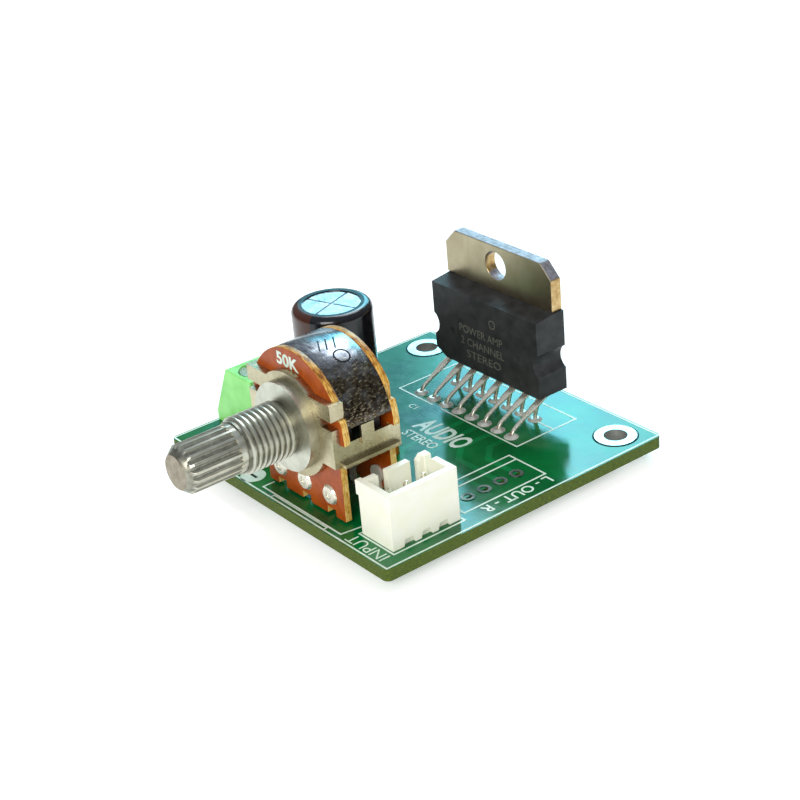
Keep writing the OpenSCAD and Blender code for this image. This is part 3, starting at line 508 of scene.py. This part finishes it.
class Drawing:
    """Thin raised shapes drawn on a plane, gathered in one mesh. Lengths are in millimetres."""

    def __init__(self, place, height):
        self.place = place
        self.height = height
        self.mesh = bmesh.new()

    def slab(self, outline):
        """A closed flat slab over an outline of points, listed one way round."""
        rings = [[self.mesh.verts.new(self.place(u, v, lift) * MM) for u, v in outline]
                 for lift in (0.0, self.height)]
        count = len(outline)
        self.mesh.faces.new(reversed(rings[0]))
        self.mesh.faces.new(rings[1])
        for i in range(count):
            j = (i + 1) % count
            self.mesh.faces.new((rings[0][i], rings[0][j], rings[1][j], rings[1][i]))

    def line(self, points, width, closed=False):
        """A stroke of even width along points, with mitred corners."""
        path = [Vector(p) for p in points]
        count = len(path)
        sides = []
        for i, point in enumerate(path):
            before = path[i - 1] if i or closed else point
            after = path[(i + 1) % count] if i < count - 1 or closed else point
            into = (point - before).normalized() if before != point else (after - point).normalized()
            out = (after - point).normalized() if after != point else into
            normal = Vector((-into.y - out.y, into.x + out.x)).normalized()
            reach = width / 2 / max(MITRE_LIMIT, normal.dot(Vector((-out.y, out.x))))
            sides.append((point + normal * reach, point - normal * reach))
        lifts = (0.0, self.height)
        corners = [[self.mesh.verts.new(self.place(*spot, lift) * MM) for spot in pair for lift in lifts]
                   for pair in sides]
        for i in range(count if closed else count - 1):
            here, there = corners[i], corners[(i + 1) % count]
            for a, b in ((0, 1), (1, 3), (3, 2), (2, 0)):
                self.mesh.faces.new((here[a], here[b], there[b], there[a]))
        if not closed:
            for end in (corners[0], corners[-1]):
                self.mesh.faces.new((end[0], end[1], end[3], end[2]))

    def box(self, low, high, width):
        """A rectangular stroke between two corners."""
        corners = [low, (high[0], low[1]), high, (low[0], high[1])]
        self.line(corners, width, closed=True)

    def ring(self, centre, radius, width, steps=40):
        """A circular stroke."""
        self.line(circle(centre, radius, steps), width, closed=True)

    def disc(self, centre, radius, steps=40):
        """A filled circle."""
        self.slab(circle(centre, radius, steps))

    def words(self, text, corner, size, turn=0.0, shear=0.0, stretch=1.0, bold=0.012):
        """Plain lettering from its lower left corner, turned by degrees."""
        curve = bpy.data.curves.new("words", "FONT")
        curve.body = text
        curve.size = size
        curve.shear = shear
        curve.resolution_u = 3
        curve.offset = size * bold
        curve.extrude = self.height / 2
        obj = bpy.data.objects.new("words", curve)
        bpy.context.scene.collection.objects.link(obj)
        solid = bpy.data.meshes.new_from_object(obj.evaluated_get(bpy.context.evaluated_depsgraph_get()))
        rotate = Matrix.Rotation(math.radians(turn), 2)
        verts = []
        for vertex in solid.vertices:
            spot = rotate @ Vector((vertex.co.x * stretch, vertex.co.y)) + Vector(corner)
            lift = self.height if vertex.co.z > 0 else 0.0
            verts.append(self.mesh.verts.new(self.place(spot.x, spot.y, lift) * MM))
        for face in solid.polygons:
            self.mesh.faces.new([verts[index] for index in face.vertices])
        bpy.data.objects.remove(obj)
        bpy.data.meshes.remove(solid)

    def label(self, table):
        """Writes every entry of a table of words."""
        for text, corner, size, style in table:
            self.words(text, corner, size, **style)

    def finish(self, name, finish, body, slot=None):
        """Closes the drawing and puts it into the scene."""
        mesh = bpy.data.meshes.new(name)
        bmesh.ops.remove_doubles(self.mesh, verts=self.mesh.verts, dist=JOIN_GAP)
        bmesh.ops.dissolve_degenerate(self.mesh, dist=SLIVER, edges=self.mesh.edges)
        bmesh.ops.recalc_face_normals(self.mesh, faces=self.mesh.faces)
        self.mesh.to_mesh(mesh)
        self.mesh.free()
        piece(name, mesh, finish, body)


# The chip's leads, with the rounded bends and corners of formed strip

LEAD_PITCH = 2.54
LEAD_W = 0.5
LEAD_T = 0.4
LEAD_LEAN = 1.4
SHOULDER_W = 0.95
FOOT_RISE = 0.25
LEAD_ROUND = 0.12
LEAD_BEND = 0.9
LEAD_CREASE = math.radians(50)
BEND_STEPS = 8
SHOULDER_STEPS = (0.2, 0.35, 0.5, 1.0)
WIDENING_STEPS = 2


def lead_section(width):
    """Points round a flat strip's section with rounded corners, as across and through offsets."""
    points = []
    for corner in range(4):
        side_u = 1 if corner in (0, 3) else -1
        side_v = 1 if corner in (0, 1) else -1
        for step in range(3):
            turn = math.radians(90 * corner + 45 * step)
            points.append((side_u * (width / 2 - LEAD_ROUND) + LEAD_ROUND * math.cos(turn),
                           side_v * (LEAD_T / 2 - LEAD_ROUND) + LEAD_ROUND * math.sin(turn)))
    return points


def lead_path(foot, knee, top):
    """Stations along a lead in Y and Z: straight up, round a bend, then straight to the chip's body."""
    up = Vector((0, 1))
    slope = (top - knee).normalized()
    start = knee - up * LEAD_BEND
    end = knee + slope * LEAD_BEND
    stations = [foot]
    for i in range(BEND_STEPS + 1):
        t = i / BEND_STEPS
        stations.append(start * (1 - t) ** 2 + knee * 2 * t * (1 - t) + end * t ** 2)
    stations.extend(end.lerp(top, t) for t in SHOULDER_STEPS)
    return stations


def formed_leads(node, exit_y):
    """Sweeps every lead of a row along its path and lets the row stand for its node."""
    low, high = span(node)
    knee_z = span("amplifier_collars")[1].z + FOOT_RISE
    foot_y = low.y + LEAD_T / 2
    stations = lead_path(Vector((foot_y, low.z)), Vector((foot_y, knee_z)), Vector((exit_y, high.z)))
    row = bmesh.new()
    count = round((high.x - low.x - SHOULDER_W) / LEAD_PITCH) + 1
    for lead in range(count):
        x = low.x + SHOULDER_W / 2 + LEAD_PITCH * lead
        rings = []
        for i, station in enumerate(stations):
            before = stations[max(i - 1, 0)]
            after = stations[min(i + 1, len(stations) - 1)]
            along = (after - before).normalized()
            past_bend = i - len(stations) + len(SHOULDER_STEPS)
            grown = min(max(past_bend / WIDENING_STEPS, 0.0), 1.0)
            width = LEAD_W + (SHOULDER_W - LEAD_W) * grown
            ring = []
            for u, v in lead_section(width):
                y = station.x - v * along.y
                z = min(max(station.y + v * along.x, low.z), high.z)
                ring.append(row.verts.new(Vector((x + u, y, z)) * MM))
            rings.append(ring)
        for first, second in zip(rings, rings[1:]):
            for i in range(len(first)):
                j = (i + 1) % len(first)
                row.faces.new((first[i], first[j], second[j], second[i]))
        row.faces.new(reversed(rings[0]))
        row.faces.new(rings[-1])
    bmesh.ops.recalc_face_normals(row, faces=row.faces)
    mesh = bpy.data.meshes.new(node)
    row.to_mesh(mesh)
    row.free()
    mesh.shade_smooth()
    mesh.set_sharp_from_angle(angle=LEAD_CREASE)
    obj = piece("formed_" + node, mesh, finishes["tinned_metal"], "board")
    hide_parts(node)


lead_exit = span("amplifier_rear_leads")[0].y + LEAD_T / 2 + LEAD_LEAN
formed_leads("amplifier_front_leads", lead_exit)
formed_leads("amplifier_rear_leads", lead_exit)


# Planes that print and copper lie on


def on_top(u, v, lift):
    """A point over the top of the board."""
    return Vector((u, v, BOARD_TOP + lift))


def under(u, v, lift):
    """A point below the underside of the board."""
    return Vector((u, v, -lift))


def on_wafer(u, v, lift):
    """A point in front of the front wafer, with v as its height."""
    return Vector((u, wafer_low.y - lift, v))


def on_chip(u, v, lift):
    """A point in front of the chip's body, with v as its height."""
    return Vector((u, CHIP_FRONT - lift, v))


def on_cover(u, v, lift):
    """u is the length along the arch from its top toward the right, v the depth along Y."""
    radius = COVER_TOP - AXIS_Z
    turn = u / radius
    reach = radius + lift
    return Vector((AXIS_X + reach * math.sin(turn), v, AXIS_Z + reach * math.cos(turn)))


# Widths, heights and gaps of print, stamped marks and tracks
PRINT_W = 0.24
THIN_W = 0.16
MARK_W = 0.2
DOT_W = 0.12
CLEARANCE_W = 0.2
DASH_W = 0.34
TRACK_W = 0.8
WIDE_TRACK_W = 1.6
PRINT_H = 0.02
MARK_H = 0.012
TRACK_H = 0.012
BORDER = 0.3
HEADER_GAP = 0.25
HEADER_BACK = 0.15
HEADER_FRONT = 0.45
CAN_GAP = 0.5
RING_GAP = 0.12

# Printed outlines on the board, as points in X and Y
OUTPUT_BOX = ((14.0, -24.94), (19.2, -12.3))
OUTPUT_BACK = ((13.86, -12.3), (12.66, -12.3), (12.66, -24.94), (13.86, -24.94))
CHIP_OUTLINE = ((-3.0, -10.2), (11.7, -10.2), (11.7, -0.3), (-11.6, -0.3), (-11.6, -10.2), (-4.6, -10.2))
CHIP_TICK = ((11.58, -4.1), (6.4, -4.1))
POT_OUTLINE = ((-3.2, -36.2), (-3.2, -37.9), (12.55, -37.9), (12.95, -35.2))
POT_FRONT = ((-0.5, -38.58), (-0.5, -38.15), (10.2, -38.15), (10.2, -38.58))
MINUS_DISC = (-6.4, -37.2)
MINUS_R = 1.6
MINUS_DASH = ((-7.2, -37.2), (-5.6, -37.2))

# Marks on the chip in X and Z, and on the cover along its arch and in Y
CHIP_DOT = (2.0, 13.2)
CHIP_DOT_R = 0.55
COVER_BARS = ((0.3, -32.5), (0.5, -31.6), (0.7, -30.6))
BAR_POINTS = 9
BAR_STEP = (0.25, -0.14)
COVER_RING = (4.05, -31.8)
COVER_RING_R = 0.95

# Words: the text, its lower left corner, its size and how it is set
BOARD_WORDS = (
    ("INPUT", (20.6, -36.75), 2.3, {"turn": 180, "stretch": 1.05, "bold": -0.006}),
    ("L - OUT - R", (19.7, -12.5), 2.1, {"turn": -90}),
    ("+", (-12.6, -29.9), 2.0, {}),
    ("-", (-12.6, -24.9), 2.0, {}),
    ("AUDIO", (-2.0, -15.7), 4.2, {"shear": 0.1, "stretch": 0.66, "bold": 0.03}),
    ("STEREO", (-1.7, -17.9), 2.1, {"stretch": 0.85}),
    ("C1", (-6.9, -12.7), 1.4, {}),
    ("C2", (-16.6, -19.6), 1.4, {}),
    ("R1", (-19.6, -18.2), 1.4, {"turn": 90}),
)
CHIP_WORDS = (
    ("POWER AMP", (-4.6, 10.5), 1.55, {"stretch": 0.95, "bold": -0.004}),
    ("2 CHANNEL", (-4.4, 8.8), 1.55, {"stretch": 1.0, "bold": -0.004}),
    ("STEREO", (-3.4, 7.1), 1.55, {"stretch": 1.25, "bold": -0.004}),
)
WAFER_WORDS = (
    ("50K", (0.7, AXIS_Z + 6.6), 2.2, {"stretch": 1.15, "bold": 0.03}),
)

# Tracks on the top, from the output holes to the chip's leads
OUTPUT_X = 16.7
OUTPUT_ROWS = (-22.31, -19.77, -17.23, -14.69)
OUTPUT_BEND = 1.68
CHAMFER = 2.2
OUTPUT_END = -9.0

# Tracks on the underside: header to volume control, a fan from the chip's leads, and the supply
HEADER_X = 16.9
HEADER_ROWS = (-33.6, -31.1, -28.6)
INPUT_BEND = 12.4
POT_X = 8.7
POT_PITCH = 5
POT_ROW = -35.1
FIRST_DROP = 1.4
FAN_COUNT = 7
FAN_X = -7.2
FAN_START = -3.9
FAN_BEND = -6.0
FAN_SPREAD = 1.35
FAN_SLOPE = 0.5
FAN_END = -13.0
POWER_TRACKS = (
    ((-15.0, -29.4), (-11.0, -29.4), (-7.8, -24.6), (-7.8, -19.6)),
    ((-15.0, -24.3), (-12.2, -24.3), (-12.2, -14.5)),
)


def printed_board():
    """White lines and plain words on the top of the board."""
    white = Drawing(on_top, PRINT_H)
    white.box((board_low.x + BORDER, board_low.y + BORDER),
              (board_high.x - BORDER, board_high.y - BORDER), PRINT_W)
    white.box(*OUTPUT_BOX, PRINT_W)
    for outline in (OUTPUT_BACK, CHIP_OUTLINE, CHIP_TICK, POT_OUTLINE):
        white.line(outline, PRINT_W)
    white.line(POT_FRONT, THIN_W)
    white.box((header_low.x + HEADER_BACK, header_low.y - HEADER_GAP),
              (header_high.x + HEADER_FRONT, header_high.y + HEADER_GAP), PRINT_W)
    white.ring(big_centre, can_high.x - big_centre[0] + CAN_GAP, PRINT_W, steps=64)
    white.disc(MINUS_DISC, MINUS_R)
    white.label(BOARD_WORDS)
    white.finish("board_print", ink, "board")
    clearance = Drawing(on_top, PRINT_H)
    for x in (-HOLE_X, HOLE_X):
        clearance.ring((x, 0.0), ring_high.y + RING_GAP, CLEARANCE_W, steps=48)
    clearance.finish("ring_clearance", dark_mask, "board")
    # The minus dash is plain dark print, in the dark metal that also paints the cover's stamp shade.
    dash = Drawing(lambda u, v, lift: on_top(u, v, lift + PRINT_H), PRINT_H)
    dash.line(MINUS_DASH, DASH_W)
    dash.finish("polarity_dash", stamp, "board")


def printed_parts():
    """Plain function words on the chip, a value on the front wafer and stamped marks on the cover in
    painted shade.
    """
    chip = Drawing(on_chip, MARK_H)
    chip.label(CHIP_WORDS)
    chip.ring(CHIP_DOT, CHIP_DOT_R, DOT_W)
    chip.finish("chip_print", grey_ink, "board")
    value = Drawing(on_wafer, PRINT_H)
    value.label(WAFER_WORDS)
    value.finish("wafer_print", ink, "board")
    # The stamped marks are raised slabs in painted shade, dark like the shade in a dent.
    marks = Drawing(on_cover, MARK_H)
    for u, v in COVER_BARS:
        marks.line([(u + BAR_STEP[0] * i, v + BAR_STEP[1] * i) for i in range(BAR_POINTS)], MARK_W)
    marks.ring(COVER_RING, COVER_RING_R, MARK_W)
    marks.finish("cover_stamp", stamp, "board")


def copper_lines():
    """Copper tracks that show as paler green bands under the mask, on both faces."""
    top = Drawing(on_top, TRACK_H)
    for i, y in enumerate(OUTPUT_ROWS):
        bend = OUTPUT_BEND + LEAD_PITCH * i
        top.line([(OUTPUT_X, y), (bend + CHAMFER, y), (bend, y + CHAMFER), (bend, OUTPUT_END)], TRACK_W)
    top.finish("top_tracks", trace_mask, "board", "board")
    below = Drawing(under, TRACK_H)
    for i, y in enumerate(HEADER_ROWS):
        shift = POT_PITCH * i
        end_y = POT_ROW if i else y - FIRST_DROP
        below.line([(HEADER_X, y), (INPUT_BEND - shift, y), (POT_X - shift, end_y)], TRACK_W)
    for i in range(FAN_COUNT):
        x = FAN_X + LEAD_PITCH * i
        below.line([(x, FAN_START), (x, FAN_BEND), (x * FAN_SPREAD, FAN_BEND - abs(x) * FAN_SLOPE),
                    (x * FAN_SPREAD, FAN_END - i)], TRACK_W)
    for track in POWER_TRACKS:
        below.line(track, WIDE_TRACK_W)
    below.finish("underside_tracks", trace_mask, "board", "board")


printed_board()
printed_parts()
copper_lines()


# Floor, light and camera

FLOOR_HALF = 20.0
FLOOR_GLOW = 0.42
AMBIENT = (0.5, 0.5, 0.5, 1.0)
SKY_LOW = (0.2, 0.2, 0.19, 1.0)
SKY_HIGH = (0.42, 0.47, 0.52, 1.0)


def make_floor():
    """A plain white floor that keeps the object's soft shadow."""
    lowest = cad_box[0][2]
    corners = [(x * FLOOR_HALF, y * FLOOR_HALF, lowest) for x, y in ((-1, -1), (1, -1), (1, 1), (-1, 1))]
    mesh = bpy.data.meshes.new("floor")
    mesh.from_pydata(corners, [], [(0, 1, 2, 3)])
    floor = bpy.data.objects.new("floor", mesh)
    bpy.context.scene.collection.objects.link(floor)
    finish = Finish("floor", rough=0.9)
    finish.put("Base Color", srgb(240, 240, 240))
    finish.put("Specular IOR Level", 0.0)
    path = finish.add("ShaderNodeLightPath")
    finish.put("Emission Color", (1.0, 1.0, 1.0, 1.0))
    seen = finish.maths("MAXIMUM", path.outputs["Is Camera Ray"], path.outputs["Is Glossy Ray"])
    seen = finish.maths("MAXIMUM", seen, path.outputs["Is Transmission Ray"])
    finish.put("Emission Strength", finish.maths("MULTIPLY", seen, FLOOR_GLOW))
    mesh.materials.append(finish.material)


def make_lamp(name, place, aim, size, power, colour, along=None):
    """A soft rectangular lamp aimed at a point, in metres, level or with its width along a direction."""
    lamp = bpy.data.lights.new(name, "AREA")
    lamp.shape = "RECTANGLE"
    lamp.size, lamp.size_y = size
    lamp.energy = power
    lamp.color = colour
    obj = bpy.data.objects.new(name, lamp)
    bpy.context.scene.collection.objects.link(obj)
    back = (Vector(place) - Vector(aim)).normalized()
    upward = back.cross(Vector(along) if along else UP.cross(back)).normalized()
    turn = Matrix((upward.cross(back), upward, back)).transposed().to_4x4()
    obj.matrix_world = Matrix.Translation(place) @ turn


def make_world():
    """Even light from all round, and a soft sky gradient for reflections."""
    world = bpy.data.worlds.new("studio")
    bpy.context.scene.world = world
    world.use_nodes = True
    tree = world.node_tree
    background = tree.nodes["Background"]
    coordinates = tree.nodes.new("ShaderNodeTexCoord")
    height = tree.nodes.new("ShaderNodeSeparateXYZ")
    tree.links.new(coordinates.outputs["Generated"], height.inputs[0])
    sky = tree.nodes.new("ShaderNodeValToRGB")
    stops = sky.color_ramp.elements
    stops[0].position = 0.0
    stops[0].color = SKY_LOW
    stops[1].position = 0.9
    stops[1].color = SKY_HIGH
    tree.links.new(height.outputs["Z"], sky.inputs["Fac"])
    path = tree.nodes.new("ShaderNodeLightPath")
    choose = tree.nodes.new("ShaderNodeMix")
    choose.data_type = "RGBA"
    tree.links.new(path.outputs["Is Glossy Ray"], choose.inputs[0])
    choose.inputs[MIX_A].default_value = AMBIENT
    tree.links.new(sky.outputs["Color"], choose.inputs[MIX_B])
    tree.links.new(choose.outputs[MIX_RESULT], background.inputs["Color"])


def make_camera():
    """The photograph's viewpoint, with its slight roll."""
    data = bpy.data.cameras.new("camera")
    data.lens = LENS
    data.sensor_width = SENSOR
    data.clip_start = CLIP_START
    camera = bpy.data.objects.new("camera", data)
    bpy.context.scene.collection.objects.link(camera)
    back = Vector((math.sin(AZIMUTH) * math.cos(ELEVATION), -math.cos(AZIMUTH) * math.cos(ELEVATION),
                   math.sin(ELEVATION)))
    right = (-back).cross(UP).normalized()
    up = right.cross(-back)
    rolled_right = right * math.cos(ROLL) + up * math.sin(ROLL)
    rolled_up = up * math.cos(ROLL) - right * math.sin(ROLL)
    turn = Matrix((rolled_right, rolled_up, back)).transposed().to_4x4()
    camera.matrix_world = Matrix.Translation(TARGET + back * DISTANCE) @ turn
    bpy.context.scene.camera = camera


make_floor()
make_world()
make_lamp("key", (0.38, -0.58, 0.38), (0, -0.017, 0.005), (0.4, 0.4), 3.8, (1.0, 0.98, 0.95))
make_lamp("sky_panel", (-0.284, 0.329, 0.24), (0.005, -0.005, 0.002), (0.2, 0.24), 1.0, (0.24, 0.8, 1.0))
make_lamp("sky_edge", (-0.388, 0.265, 0.21), (-0.016, 0, 0.002), (0.16, 0.2), 0.14, (0.1, 0.75, 1.0))
make_lamp("window", (-0.165, 0.176, 0.315), (0.006, -0.033, 0.021), (0.25, 0.14), 0.65, (0.84, 0.93, 1.0),
          along=(0.85, 0, 0.51))
make_camera()
bpy.context.scene.view_settings.view_transform = "Standard"
